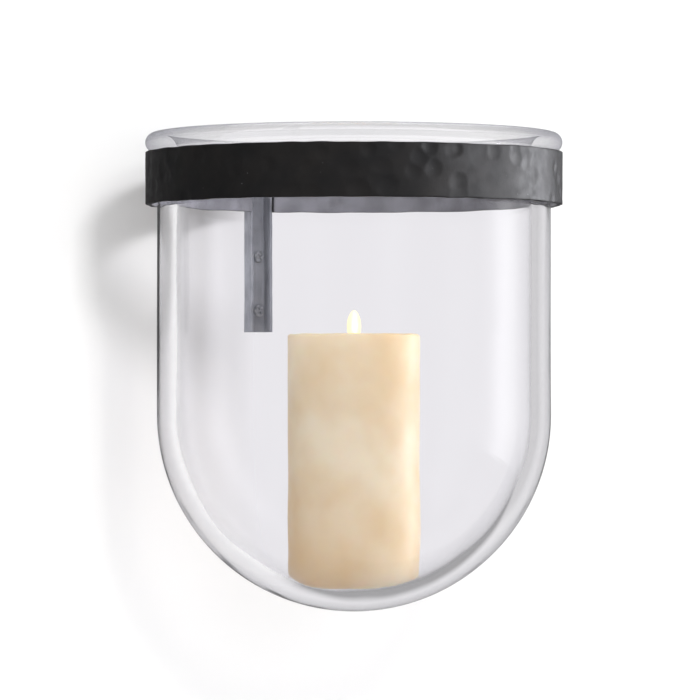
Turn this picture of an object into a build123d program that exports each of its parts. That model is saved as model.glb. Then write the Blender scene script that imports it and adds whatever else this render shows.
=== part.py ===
from build123d import *
import os
from math import cos, radians, sin, sqrt

# Wall sconce candle holder: an iron band on a wall channel carries a glass bell by its rim,
# and a battery pillar candle with a swaying flame stands in the bell.
# Frame: the wall is the plane Y = 0, the room is towards -Y and up is +Z. The origin is on
# the wall, below the band's axis, midway between the two wall screws.

os.makedirs("parts", exist_ok=True)

# ---------------------------------------------------------------- driving dimensions (mm)
BAND_OUTER_R = 140.0
BAND_THICK = 5.0
BAND_HEIGHT = 36.0
BAND_WALL_GAP = 12.0        # from the wall to the back of the band
BAND_BOTTOM_Z = 49.6        # above the middle of the wall screws

CHANNEL_WIDTH = 19.05
CHANNEL_THICK = 2.0
CHANNEL_TAIL = 83.6         # how far the channel hangs below the band

SCREW_SPACING = 38.1
SCREW_X = 2.2               # the holes are drilled a little off the channel's centre
SCREW_HEAD_R = 4.35
SCREW_SHANK_R = 2.1

GLASS_BODY_R = 132.0
GLASS_WALL = 13.2
GLASS_DROP = 140.0          # from the band's bottom edge to the centre of the round end
RIM_OUTER_R = 140.0
RIM_HEIGHT = 12.3

CANDLE_R = 44.45
CANDLE_HEIGHT = 165.0       # from the underside of its feet
WAX_BOTTOM = 0.8            # the wax starts above the underside of the feet
FLAME_HEIGHT = 15.5         # flame tip above the candle's top edge
CELL_R = 7.1
CELL_LENGTH = 50.5

SEAT_GAP = 0.2              # between pieces that only rest on one another
GLUE_GAP = 0.05             # between pieces glued or pushed together
RUN_GAP = 0.1               # between pieces that turn against one another
PLAY = 0.3                  # round a piece that moves in a slot

# ---------------------------------------------------------------- shared places
RING_Y = -(BAND_OUTER_R + BAND_WALL_GAP)
RING_AXIS = Axis(origin=(0, RING_Y, 0), direction=(0, 0, 1))
RING_PROFILE = Plane.XZ.offset(-RING_Y)
BAND_INNER_R = BAND_OUTER_R - BAND_THICK
BAND_TOP_Z = BAND_BOTTOM_Z + BAND_HEIGHT
ROUND_END_Z = BAND_BOTTOM_Z - GLASS_DROP
GLASS_INNER_R = GLASS_BODY_R - GLASS_WALL
# The candle's lower edge rests on the round inside of the glass, all the way round.
CANDLE_REST_Z = ROUND_END_Z - sqrt(GLASS_INNER_R**2 - CANDLE_R**2)
CANDLE_Z = CANDLE_REST_Z + SEAT_GAP - WAX_BOTTOM


def level(z):
    """A horizontal plane at height z, centred on the axis of the band."""
    return Plane(origin=(0, RING_Y, z))


def in_candle(height):
    """A horizontal plane on the candle's axis, at a height above the candle's foot."""
    return level(CANDLE_Z + height)


def save(piece, name):
    """Label a finished piece and write it as its own file."""
    piece.part.label = name
    export_step(piece.part, f"parts/{name}.step")


# ================================================================ iron holder
CHANNEL_DEPTH = BAND_WALL_GAP + BAND_THICK * 0.6    # webs end within the band's thickness
CHANNEL_BACK = 2.5                                  # thickness of the side on the wall
CHANNEL_BOTTOM_Z = BAND_BOTTOM_Z - CHANNEL_TAIL
CHANNEL_LENGTH = BAND_TOP_Z - CHANNEL_BOTTOM_Z
CHANNEL_CORNER_R = 1.5
SCREW_NECK_R = SCREW_SHANK_R + 0.3                  # plain neck, within the channel's back
SCREW_HOLE_R = SCREW_NECK_R + RUN_GAP
SCREW_HEIGHTS = (-SCREW_SPACING / 2, SCREW_SPACING / 2)

# Hoop of flat bar, open at the back where its two ends meet the channel.
BAND_EDGE_R = 0.7
with BuildPart() as ring_band:
    with BuildSketch(level(BAND_BOTTOM_Z)):
        Circle(BAND_OUTER_R)
        Circle(BAND_INNER_R, mode=Mode.SUBTRACT)
        with Locations((0, BAND_OUTER_R)):
            Rectangle(CHANNEL_WIDTH, BAND_OUTER_R, mode=Mode.SUBTRACT)
    extrude(amount=BAND_HEIGHT)
    hoop_edges = ring_band.edges().filter_by(GeomType.CIRCLE)
    fillet(hoop_edges, radius=BAND_EDGE_R)
save(ring_band, "ring_band")

# Upright channel with its back on the wall and its two webs towards the room.
with BuildPart() as wall_channel:
    with BuildSketch(Plane.XY.offset(CHANNEL_BOTTOM_Z)):
        with Locations((0, -CHANNEL_DEPTH / 2)):
            Rectangle(CHANNEL_WIDTH, CHANNEL_DEPTH)
        with Locations((0, -(CHANNEL_DEPTH + CHANNEL_BACK) / 2)):
            Rectangle(
                CHANNEL_WIDTH - 2 * CHANNEL_THICK,
                CHANNEL_DEPTH - CHANNEL_BACK,
                mode=Mode.SUBTRACT,
            )
    extrude(amount=CHANNEL_LENGTH)
    wall_corners = wall_channel.edges().filter_by(Axis.Z).group_by(Axis.Y)[-1]
    fillet(wall_corners, radius=CHANNEL_CORNER_R)
    with BuildSketch(Plane.XZ):
        with Locations(*[(SCREW_X, height) for height in SCREW_HEIGHTS]):
            Circle(SCREW_HOLE_R)
    extrude(amount=CHANNEL_BACK, mode=Mode.SUBTRACT)
save(wall_channel, "wall_channel")

# A weld runs down each corner between the back of the hoop and the side of the channel.
WELD_LEG = 3.0
WELD_END_GAP = 2.0
band_end_y = RING_Y + sqrt(BAND_OUTER_R**2 - (CHANNEL_WIDTH / 2) ** 2)
with BuildPart() as weld_beads:
    with BuildSketch(Plane.XY.offset(BAND_BOTTOM_Z + WELD_END_GAP)):
        for side in (-1, 1):
            with BuildLine():
                Polyline(
                    (side * CHANNEL_WIDTH / 2, band_end_y + WELD_LEG),
                    (side * CHANNEL_WIDTH / 2, band_end_y - WELD_LEG / 2),
                    (side * (CHANNEL_WIDTH / 2 + WELD_LEG), band_end_y - WELD_LEG / 2),
                    close=True,
                )
            make_face()
        with Locations((0, RING_Y)):
            Circle(BAND_OUTER_R, mode=Mode.SUBTRACT)
    extrude(amount=BAND_HEIGHT - 2 * WELD_END_GAP)
save(weld_beads, "weld_beads")

# Two cross-head screws hold the channel to the wall.
SCREW_HEAD_HEIGHT = 2.5
SCREW_IN_WALL = 30.0
SCREW_POINT = 6.0
SCREW_POINT_TAPER = 17.0
CROSS_LENGTH = 4.8
CROSS_WIDTH = 0.9
CROSS_DEPTH = 1.3
CROSS_TURN = 25.0
SCREW_HEAD_EDGE_R = 1.4
with BuildPart() as wall_screws:
    for height in SCREW_HEIGHTS:
        seat = Plane(origin=(SCREW_X, -CHANNEL_BACK, height), x_dir=(1, 0, 0), z_dir=(0, -1, 0))
        with BuildSketch(seat):
            Circle(SCREW_HEAD_R)
        extrude(amount=SCREW_HEAD_HEIGHT)
        with BuildSketch(seat):
            Circle(SCREW_NECK_R)
        extrude(amount=-CHANNEL_BACK)
        with BuildSketch(seat.offset(-CHANNEL_BACK)):
            Circle(SCREW_SHANK_R)
        extrude(amount=-SCREW_IN_WALL)
        with BuildSketch(seat.offset(-(CHANNEL_BACK + SCREW_IN_WALL))):
            Circle(SCREW_SHANK_R)
        extrude(amount=-SCREW_POINT, taper=SCREW_POINT_TAPER)
    head_rims = wall_screws.edges().filter_by(GeomType.CIRCLE).group_by(Axis.Y)[0]
    fillet(head_rims, radius=SCREW_HEAD_EDGE_R)
    for height in SCREW_HEIGHTS:
        crown = Plane(
            origin=(SCREW_X, -CHANNEL_BACK - SCREW_HEAD_HEIGHT, height),
            x_dir=(1, 0, 0),
            z_dir=(0, -1, 0),
        )
        with BuildSketch(crown):
            Rectangle(CROSS_LENGTH, CROSS_WIDTH, rotation=CROSS_TURN)
            Rectangle(CROSS_WIDTH, CROSS_LENGTH, rotation=CROSS_TURN)
        extrude(amount=-CROSS_DEPTH, mode=Mode.SUBTRACT)
save(wall_screws, "wall_screws")

# ================================================================ glass
RIM_SEAT_Z = BAND_TOP_Z + SEAT_GAP
RIM_TOP_Z = BAND_TOP_Z + RIM_HEIGHT
RIM_ROOT_R = 2.0                                    # hollow curve under the rolled rim
RIM_SEAT_R = BAND_INNER_R + 1.4                     # where the rolled rim leaves the band
RIM_CROWN_R = RIM_OUTER_R - 6.0                     # highest circle of the rim
INNER_LIP_DROP = 8.5

# Bell of even thickness: straight sides, a half-round end and a rolled rim.
with BuildPart() as glass_bell:
    with BuildSketch(RING_PROFILE):
        with BuildLine():
            CenterArc((0, ROUND_END_Z), GLASS_BODY_R, -90, 90)
            Line((GLASS_BODY_R, ROUND_END_Z), (GLASS_BODY_R, RIM_SEAT_Z - RIM_ROOT_R))
            CenterArc(
                (GLASS_BODY_R + RIM_ROOT_R, RIM_SEAT_Z - RIM_ROOT_R), RIM_ROOT_R, 180, -90
            )
            Line((GLASS_BODY_R + RIM_ROOT_R, RIM_SEAT_Z), (RIM_SEAT_R, RIM_SEAT_Z))
            ThreePointArc(
                (RIM_SEAT_R, RIM_SEAT_Z),
                (RIM_OUTER_R, BAND_TOP_Z + RIM_HEIGHT / 2),
                (RIM_CROWN_R, RIM_TOP_Z),
            )
            lip_r = RIM_CROWN_R - GLASS_INNER_R
            ThreePointArc(
                (RIM_CROWN_R, RIM_TOP_Z),
                (
                    RIM_CROWN_R - lip_r * sin(radians(45)),
                    RIM_TOP_Z - INNER_LIP_DROP * (1 - cos(radians(45))),
                ),
                (GLASS_INNER_R, RIM_TOP_Z - INNER_LIP_DROP),
            )
            Line((GLASS_INNER_R, RIM_TOP_Z - INNER_LIP_DROP), (GLASS_INNER_R, ROUND_END_Z))
            CenterArc((0, ROUND_END_Z), GLASS_INNER_R, 0, -90)
            Line((0, ROUND_END_Z - GLASS_INNER_R), (0, ROUND_END_Z - GLASS_BODY_R))
        make_face()
    revolve(axis=RING_AXIS)
save(glass_bell, "glass_bell")

# ================================================================ candle body
# Heights below are above the candle's foot, the underside of its rubber feet.
WAX_BORE_R = 37.55
WAX_CEILING = 150.0
WAX_EDGE = 5.0              # flat lip around the dished top
WAX_DISH = 5.0
WAX_EDGE_R = 2.2
FLAME_HOLE_LENGTH = 17.0
FLAME_HOLE_WIDTH = 7.0

# Outer candle of real wax, hollow from below, with a dished top and a slot for the flame.
with BuildPart() as wax_shell:
    with BuildSketch(RING_PROFILE):
        with BuildLine():
            Polyline(
                (0, CANDLE_Z + WAX_CEILING),
                (WAX_BORE_R, CANDLE_Z + WAX_CEILING),
                (WAX_BORE_R, CANDLE_Z + WAX_BOTTOM),
                (CANDLE_R, CANDLE_Z + WAX_BOTTOM),
                (CANDLE_R, CANDLE_Z + CANDLE_HEIGHT),
                (CANDLE_R - WAX_EDGE, CANDLE_Z + CANDLE_HEIGHT),
            )
            RadiusArc(
                (CANDLE_R - WAX_EDGE, CANDLE_Z + CANDLE_HEIGHT),
                (0, CANDLE_Z + CANDLE_HEIGHT - WAX_DISH),
                ((CANDLE_R - WAX_EDGE) ** 2 + WAX_DISH**2) / (2 * WAX_DISH),
            )
            Line(
                (0, CANDLE_Z + CANDLE_HEIGHT - WAX_DISH),
                (0, CANDLE_Z + WAX_CEILING),
            )
        make_face()
    revolve(axis=RING_AXIS)
    with BuildSketch(in_candle(WAX_CEILING)):
        SlotOverall(FLAME_HOLE_LENGTH, FLAME_HOLE_WIDTH)
    extrude(amount=CANDLE_HEIGHT - WAX_CEILING, mode=Mode.SUBTRACT)
    top_rim = wax_shell.edges().filter_by(GeomType.CIRCLE).group_by(Axis.Z)[-1]
    fillet(top_rim.sort_by(SortBy.RADIUS)[-1], radius=WAX_EDGE_R)
save(wax_shell, "wax_shell")

CAP_R = 37.5
CAP_BOTTOM = 0.5
CAP_TOP = 3.5
DOOR_R = 17.85
DOOR_HOLE_R = 18.0
LUG_R = 20.2
LUG_WIDTH = 9.0
DOOR_TWIST = 45.0           # from locked to lined up with the notches
FIX_R = 32.6                # circle of the three base screws
FIX_START = 90.0
FOOT_R = 4.0
FOOT_CIRCLE_R = 30.0
FOOT_START = 60.0
FOOT_THICK = 1.2
FOOT_EDGE_R = 0.3
FIX_SHANK_R = 1.25
FIX_HEAD_R = 2.8
FIX_HEAD_DEPTH = 1.6
FIX_LENGTH = 14.5
FIX_CROSS_LENGTH = 3.4
FIX_CROSS_WIDTH = 0.7
FIX_CROSS_DEPTH = 0.8
SWITCH_X = 29.5
SWITCH_TRAVEL = 4.0
THUMB_X = 4.0
THUMB_Y = 4.4

# Plastic base that closes the candle from below.
with BuildPart() as base_cap:
    with BuildSketch(in_candle(CAP_BOTTOM)):
        Circle(CAP_R)
        Circle(DOOR_HOLE_R, mode=Mode.SUBTRACT)
        with Locations(Location((0, 0), DOOR_TWIST + 90)):
            Rectangle(2 * (LUG_R + PLAY), LUG_WIDTH + 2 * PLAY, mode=Mode.SUBTRACT)
        with PolarLocations(FIX_R, 3, FIX_START):
            Circle(FIX_SHANK_R, mode=Mode.SUBTRACT)
        with Locations((SWITCH_X, 0)):
            Rectangle(
                THUMB_X + 2 * PLAY, THUMB_Y + SWITCH_TRAVEL + 2 * PLAY, mode=Mode.SUBTRACT
            )
    extrude(amount=CAP_TOP - CAP_BOTTOM)
    with BuildSketch(in_candle(CAP_BOTTOM)):
        with PolarLocations(FIX_R, 3, FIX_START):
            Circle(FIX_HEAD_R + RUN_GAP)
    extrude(amount=FIX_HEAD_DEPTH, mode=Mode.SUBTRACT)
    with BuildSketch(in_candle(CAP_BOTTOM)):
        with PolarLocations(FOOT_CIRCLE_R, 3, FOOT_START):
            Circle(FOOT_R)
    extrude(amount=FOOT_THICK - CAP_BOTTOM, mode=Mode.SUBTRACT)
save(base_cap, "base_cap")

HOUSING_R = 37.5
HOUSING_WALL = 1.8
HOUSING_TOP = 148.0
LID_THICK = 2.0
GUIDE_R = 15.0
LEDGE_TOP = 94.0
LEDGE_THICK = 2.0
LEDGE_WIDTH = 4.5
BOSS_R = 3.6
BOSS_TOP = 20.0

# Plastic tube with a lid, a ledge for the circuit board and three screw bosses.
with BuildPart() as core_housing:
    with BuildSketch(in_candle(CAP_TOP)):
        Circle(HOUSING_R)
        Circle(HOUSING_R - HOUSING_WALL, mode=Mode.SUBTRACT)
    extrude(amount=HOUSING_TOP - CAP_TOP)
    with BuildSketch(in_candle(HOUSING_TOP)):
        Circle(HOUSING_R)
        Circle(GUIDE_R + GLUE_GAP, mode=Mode.SUBTRACT)
    extrude(amount=-LID_THICK)
    with BuildSketch(in_candle(LEDGE_TOP)):
        Circle(HOUSING_R - HOUSING_WALL / 2)
        Circle(HOUSING_R - HOUSING_WALL - LEDGE_WIDTH, mode=Mode.SUBTRACT)
    extrude(amount=-LEDGE_THICK)
    with BuildSketch(in_candle(CAP_TOP)):
        with PolarLocations(FIX_R, 3, FIX_START):
            Circle(BOSS_R)
            Circle(FIX_SHANK_R, mode=Mode.SUBTRACT)
    extrude(amount=BOSS_TOP - CAP_TOP)
save(core_housing, "core_housing")

# Three pan-head screws, heads sunk in the base, hold the base to the housing.
with BuildPart() as base_screws:
    with BuildSketch(in_candle(CAP_BOTTOM)):
        with PolarLocations(FIX_R, 3, FIX_START):
            Circle(FIX_HEAD_R)
    extrude(amount=FIX_HEAD_DEPTH)
    with BuildSketch(in_candle(CAP_BOTTOM)):
        with PolarLocations(FIX_R, 3, FIX_START):
            Circle(FIX_SHANK_R)
    extrude(amount=FIX_LENGTH)
    with BuildSketch(in_candle(CAP_BOTTOM)):
        with PolarLocations(FIX_R, 3, FIX_START):
            Rectangle(FIX_CROSS_LENGTH, FIX_CROSS_WIDTH)
            Rectangle(FIX_CROSS_WIDTH, FIX_CROSS_LENGTH)
    extrude(amount=FIX_CROSS_DEPTH, mode=Mode.SUBTRACT)
save(base_screws, "base_screws")

# Three rubber feet in shallow pockets of the base.
with BuildPart() as rubber_feet:
    with BuildSketch(in_candle(0)):
        with PolarLocations(FOOT_CIRCLE_R, 3, FOOT_START):
            Circle(FOOT_R)
    extrude(amount=FOOT_THICK)
    fillet(rubber_feet.edges().group_by(Axis.Z)[0], radius=FOOT_EDGE_R)
save(rubber_feet, "rubber_feet")

# ================================================================ battery compartment
LUG_BOTTOM = CAP_TOP + RUN_GAP
LUG_TOP = 4.9
DOOR_BOTTOM = CAP_BOTTOM + SEAT_GAP
COIN_SLOT_LENGTH = 16.0
COIN_SLOT_WIDTH = 1.8
COIN_SLOT_DEPTH = 1.3
CONTACT_TOP = 5.2
CELL_BOTTOM = 5.3
CELL_TOP = CELL_BOTTOM + CELL_LENGTH
CELL_X = 8.2
CELL_BORE_R = 7.4
HOLDER_R = 22.5
HOLDER_ROOF = 62.5
HOLDER_TOP = 64.5
TERMINAL_R = 6.8
TERMINAL_THICK = 0.4

# Round holder with a bore for each cell and room below for the door's two lugs.
with BuildPart() as battery_holder:
    with BuildSketch(in_candle(CAP_TOP)):
        Circle(HOLDER_R)
    extrude(amount=HOLDER_TOP - CAP_TOP)
    with BuildSketch(in_candle(CAP_TOP)):
        Circle(LUG_R + PLAY)
    extrude(amount=CONTACT_TOP - CAP_TOP, mode=Mode.SUBTRACT)
    with BuildSketch(in_candle(CONTACT_TOP)):
        with Locations((-CELL_X, 0), (CELL_X, 0)):
            Circle(CELL_BORE_R)
    extrude(amount=HOLDER_ROOF - CONTACT_TOP, mode=Mode.SUBTRACT)
save(battery_holder, "battery_holder")

# Bayonet door: a coin slot below, and two lugs that turn in above the base.
with BuildPart() as battery_door:
    with BuildSketch(in_candle(DOOR_BOTTOM)):
        Circle(DOOR_R)
    extrude(amount=LUG_BOTTOM - DOOR_BOTTOM)
    with BuildSketch(in_candle(LUG_BOTTOM)):
        Rectangle(LUG_WIDTH, 2 * LUG_R)
        Circle(LUG_R, mode=Mode.INTERSECT)
        Circle(DOOR_R - PLAY)
    extrude(amount=LUG_TOP - LUG_BOTTOM)
    with BuildSketch(in_candle(DOOR_BOTTOM)):
        SlotOverall(COIN_SLOT_LENGTH, COIN_SLOT_WIDTH)
    extrude(amount=COIN_SLOT_DEPTH, mode=Mode.SUBTRACT)
save(battery_door, "battery_door")

# Plate on the door that joins the two cells in series.
CONTACT_LENGTH = 26.4
CONTACT_WIDTH = 10.0
with BuildPart() as door_contact:
    with BuildSketch(in_candle(LUG_TOP)):
        SlotOverall(CONTACT_LENGTH, CONTACT_WIDTH)
    extrude(amount=CONTACT_TOP - LUG_TOP)
save(door_contact, "door_contact")

# Two AA cells, one each way up.
NUB_R = 2.7
NUB_HEIGHT = 1.0
with BuildPart() as battery_cells:
    for x, body_bottom, nub_bottom in (
        (-CELL_X, CELL_BOTTOM, CELL_TOP - NUB_HEIGHT),
        (CELL_X, CELL_BOTTOM + NUB_HEIGHT, CELL_BOTTOM),
    ):
        with BuildSketch(in_candle(body_bottom)):
            with Locations((x, 0)):
                Circle(CELL_R)
        extrude(amount=CELL_LENGTH - NUB_HEIGHT)
        with BuildSketch(in_candle(nub_bottom)):
            with Locations((x, 0)):
                Circle(NUB_R)
        extrude(amount=NUB_HEIGHT)
save(battery_cells, "battery_cells")

# A terminal under the holder's roof above each cell.
with BuildPart() as terminal_plates:
    with BuildSketch(in_candle(HOLDER_ROOF)):
        with Locations((-CELL_X, 0), (CELL_X, 0)):
            Circle(TERMINAL_R)
    extrude(amount=-TERMINAL_THICK)
save(terminal_plates, "terminal_plates")

# A coil spring between each cell and its terminal.
SPRING_WIRE_R = 0.35
SPRING_R = 3.4
SPRING_BOTTOM = CELL_TOP + SPRING_WIRE_R + GLUE_GAP
SPRING_TOP = HOLDER_ROOF - TERMINAL_THICK - SPRING_WIRE_R - GLUE_GAP
SPRING_TURNS = 3.5
with BuildPart() as contact_springs:
    for x in (-CELL_X, CELL_X):
        with BuildLine() as coil:
            Helix(
                pitch=(SPRING_TOP - SPRING_BOTTOM) / SPRING_TURNS,
                height=SPRING_TOP - SPRING_BOTTOM,
                radius=SPRING_R,
                center=(x, RING_Y, CANDLE_Z + SPRING_BOTTOM),
            )
        with BuildSketch(Plane(origin=coil.line @ 0, z_dir=coil.line % 0)):
            Circle(SPRING_WIRE_R)
        sweep(path=coil.line)
save(contact_springs, "contact_springs")

# ================================================================ switch
SWITCH_BODY_X = 9.0
SWITCH_BODY_Y = 15.0
SWITCH_BODY_TOP = 10.5
SWITCH_WALL = 1.0
SLIDER_X = SWITCH_BODY_X - 2 * (SWITCH_WALL + PLAY)
SLIDER_Y = 8.0
SLIDER_BOTTOM = CAP_TOP + SEAT_GAP
SLIDER_TOP = SLIDER_BOTTOM + 2.0
THUMB_BOTTOM = 1.2

# Switch case on the base, open below for its slider.
with BuildPart() as switch_body:
    with BuildSketch(in_candle(CAP_TOP)):
        with Locations((SWITCH_X, 0)):
            Rectangle(SWITCH_BODY_X, SWITCH_BODY_Y)
    extrude(amount=SWITCH_BODY_TOP - CAP_TOP)
    with BuildSketch(in_candle(CAP_TOP)):
        with Locations((SWITCH_X, 0)):
            Rectangle(SWITCH_BODY_X - 2 * SWITCH_WALL, SWITCH_BODY_Y - 2 * SWITCH_WALL)
    extrude(amount=SLIDER_TOP + PLAY - CAP_TOP, mode=Mode.SUBTRACT)
save(switch_body, "switch_body")

# Slider with its thumb piece in the slot of the base, shown at the end it rests at.
with BuildPart() as switch_slider:
    with BuildSketch(in_candle(SLIDER_BOTTOM)):
        with Locations((SWITCH_X, -SWITCH_TRAVEL / 2)):
            Rectangle(SLIDER_X, SLIDER_Y)
    extrude(amount=SLIDER_TOP - SLIDER_BOTTOM)
    with BuildSketch(in_candle(THUMB_BOTTOM)):
        with Locations((SWITCH_X, -SWITCH_TRAVEL / 2)):
            Rectangle(THUMB_X, THUMB_Y)
    extrude(amount=SLIDER_BOTTOM - THUMB_BOTTOM)
save(switch_slider, "switch_slider")

# ================================================================ electronics
BOARD_R = 33.0
BOARD_THICK = 1.6
BOARD_TOP = LEDGE_TOP + BOARD_THICK
COIL_TOP = 111.5
COIL_CORE_R = 3.0
COIL_FLANGE_R = 9.0
COIL_FLANGE_THICK = 1.2
COIL_WINDING_R = 8.0

# Round circuit board on the housing's ledge.
with BuildPart() as circuit_board:
    with BuildSketch(in_candle(LEDGE_TOP)):
        Circle(BOARD_R)
    extrude(amount=BOARD_THICK)
save(circuit_board, "circuit_board")

# Chip, capacitor and four resistors on the board.
CHIP_LENGTH, CHIP_WIDTH, CHIP_HEIGHT = 8.0, 6.0, 1.8
CHIP_SPOT = (18, 8)
CAPACITOR_R, CAPACITOR_HEIGHT = 3.2, 8.0
CAPACITOR_SPOT = (-18, 6)
RESISTOR_LENGTH, RESISTOR_WIDTH, RESISTOR_HEIGHT = 3.2, 1.6, 0.8
RESISTOR_SPOTS = ((-16, -10), (-10, -18), (10, -18), (16, -10))
with BuildPart() as board_components:
    with BuildSketch(in_candle(BOARD_TOP)):
        with Locations(CHIP_SPOT):
            Rectangle(CHIP_LENGTH, CHIP_WIDTH)
    extrude(amount=CHIP_HEIGHT)
    with BuildSketch(in_candle(BOARD_TOP)):
        with Locations(CAPACITOR_SPOT):
            Circle(CAPACITOR_R)
    extrude(amount=CAPACITOR_HEIGHT)
    with BuildSketch(in_candle(BOARD_TOP)):
        with Locations(*RESISTOR_SPOTS):
            Rectangle(RESISTOR_LENGTH, RESISTOR_WIDTH)
    extrude(amount=RESISTOR_HEIGHT)
save(board_components, "board_components")

# Spool that carries the coil under the flame guide.
with BuildPart() as coil_bobbin:
    with BuildSketch(in_candle(BOARD_TOP)):
        Circle(COIL_CORE_R)
    extrude(amount=COIL_TOP - BOARD_TOP)
    with BuildSketch(in_candle(BOARD_TOP), in_candle(COIL_TOP - COIL_FLANGE_THICK)):
        Circle(COIL_FLANGE_R)
    extrude(amount=COIL_FLANGE_THICK)
save(coil_bobbin, "coil_bobbin")

# Copper winding on the spool.
with BuildPart() as coil_winding:
    with BuildSketch(in_candle(BOARD_TOP + COIL_FLANGE_THICK + GLUE_GAP)):
        Circle(COIL_WINDING_R)
        Circle(COIL_CORE_R + GLUE_GAP, mode=Mode.SUBTRACT)
    extrude(amount=COIL_TOP - BOARD_TOP - 2 * (COIL_FLANGE_THICK + GLUE_GAP))
save(coil_winding, "coil_winding")

# ================================================================ flame
GUIDE_FLOOR = 112.0
GUIDE_WALL = 1.5
GUIDE_TOP = WAX_CEILING - GLUE_GAP
GUIDE_RIM_R = 20.0
PIVOT_HEIGHT = 140.0
PIVOT_WIRE_R = 0.4
PIVOT_HOLE_R = PIVOT_WIRE_R + 0.08

# Cup that hangs in the housing's lid and guides the flame.
with BuildPart() as flame_guide:
    with BuildSketch(in_candle(GUIDE_FLOOR)):
        Circle(GUIDE_R)
    extrude(amount=HOUSING_TOP - GUIDE_FLOOR)
    with BuildSketch(in_candle(HOUSING_TOP + GLUE_GAP)):
        Circle(GUIDE_RIM_R)
    extrude(amount=GUIDE_TOP - HOUSING_TOP - GLUE_GAP)
    with BuildSketch(in_candle(HOUSING_TOP)):
        Circle(GUIDE_R)
    extrude(amount=GLUE_GAP)
    with BuildSketch(in_candle(GUIDE_FLOOR + GUIDE_WALL)):
        Circle(GUIDE_R - GUIDE_WALL)
    extrude(amount=GUIDE_TOP - GUIDE_FLOOR - GUIDE_WALL, mode=Mode.SUBTRACT)
    with BuildSketch(RING_PROFILE):
        with Locations((0, CANDLE_Z + PIVOT_HEIGHT)):
            Circle(PIVOT_WIRE_R)
    extrude(amount=2 * GUIDE_R, both=True, mode=Mode.SUBTRACT)
save(flame_guide, "flame_guide")

# Wire across the cup, the pivot of the flame.
with BuildPart() as pivot_wire:
    with BuildSketch(RING_PROFILE):
        with Locations((0, CANDLE_Z + PIVOT_HEIGHT)):
            Circle(PIVOT_WIRE_R)
    extrude(amount=GUIDE_R - RUN_GAP, both=True)
save(pivot_wire, "pivot_wire")

FLAME_TIP = CANDLE_HEIGHT + FLAME_HEIGHT
FLAME_HALF_WIDTH = 6.1
FLAME_WIDE = CANDLE_HEIGHT + 4.5        # height of the flame's widest place
NECK_HALF_WIDTH = 2.6
NECK_HEIGHT = 158.0
STEM_BOTTOM = 118.0
TIP_DIRECTION = (-0.6, 1)
PADDLE_THICK = 1.2

# Thin flame-shaped paddle: a blade above the wax, and a stem that hangs below the wire.
with BuildPart() as flame_paddle:
    with BuildSketch(RING_PROFILE):
        with BuildLine():
            Line(
                (0, CANDLE_Z + STEM_BOTTOM),
                (NECK_HALF_WIDTH, CANDLE_Z + STEM_BOTTOM),
            )
            Line(
                (NECK_HALF_WIDTH, CANDLE_Z + STEM_BOTTOM),
                (NECK_HALF_WIDTH, CANDLE_Z + NECK_HEIGHT),
            )
            Spline(
                (NECK_HALF_WIDTH, CANDLE_Z + NECK_HEIGHT),
                (FLAME_HALF_WIDTH, CANDLE_Z + FLAME_WIDE),
                (0, CANDLE_Z + FLAME_TIP),
                tangents=((0, 1), TIP_DIRECTION),
            )
            mirror(about=Plane.YZ)
        make_face()
        with Locations((0, CANDLE_Z + PIVOT_HEIGHT)):
            Circle(PIVOT_HOLE_R, mode=Mode.SUBTRACT)
    extrude(amount=PADDLE_THICK / 2, both=True)
save(flame_paddle, "flame_paddle")

# Magnet on the foot of the paddle, above the coil.
MAGNET_R = 2.6
MAGNET_LENGTH = 3.0
with BuildPart() as flame_magnet:
    with BuildSketch(in_candle(STEM_BOTTOM)):
        Circle(MAGNET_R)
    extrude(amount=-MAGNET_LENGTH)
save(flame_magnet, "flame_magnet")

LAMP_R = 2.5
LAMP_LENGTH = 6.0
LAMP_LEAN = 10.0
LAMP_SPOT_Y = -8.5
SLEEVE_R = 3.8
SLEEVE_FLOOR = 2.0
SLEEVE_FOOT = 3.0
SLEEVE_BOTTOM = GUIDE_FLOOR + GUIDE_WALL + 1.0
lamp_seat = Plane(
    origin=(0, RING_Y + LAMP_SPOT_Y, CANDLE_Z + SLEEVE_BOTTOM),
    x_dir=(1, 0, 0),
    z_dir=(0, sin(radians(LAMP_LEAN)), cos(radians(LAMP_LEAN))),
)

# Sleeve that leans the lamp towards the flame's blade.
with BuildPart() as lamp_sleeve:
    with BuildSketch(lamp_seat):
        Circle(SLEEVE_R)
    extrude(amount=LAMP_LENGTH)
    with BuildSketch(in_candle(GUIDE_FLOOR + GUIDE_WALL)):
        with Locations((0, LAMP_SPOT_Y)):
            Rectangle(SLEEVE_FOOT, SLEEVE_FOOT)
    extrude(amount=SLEEVE_FLOOR)
    with BuildSketch(lamp_seat.offset(SLEEVE_FLOOR)):
        Circle(LAMP_R + GLUE_GAP)
    extrude(amount=LAMP_LENGTH, mode=Mode.SUBTRACT)
save(lamp_sleeve, "lamp_sleeve")

# Domed lamp in the sleeve.
with BuildPart() as led_lamp:
    with BuildSketch(lamp_seat.offset(SLEEVE_FLOOR + GLUE_GAP)):
        Circle(LAMP_R)
    extrude(amount=LAMP_LENGTH + LAMP_R)
    fillet(led_lamp.edges().group_by(Axis.Z)[-1], radius=LAMP_R - RUN_GAP)
save(led_lamp, "led_lamp")

# ================================================================ leads
LEAD_R = 0.55
LEAD_BOW = 6.0
LEAD_RUNS = (
    # foot x, y, height, then head x, y, height
    ((-6, 12, HOLDER_TOP), (-9, 14, LEDGE_TOP)),
    ((6, 12, HOLDER_TOP), (9, 14, LEDGE_TOP)),
    ((SWITCH_X, -4, SWITCH_BODY_TOP), (25, -6, LEDGE_TOP)),
    ((SWITCH_X, 4, SWITCH_BODY_TOP), (25, 6, LEDGE_TOP)),
)

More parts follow.
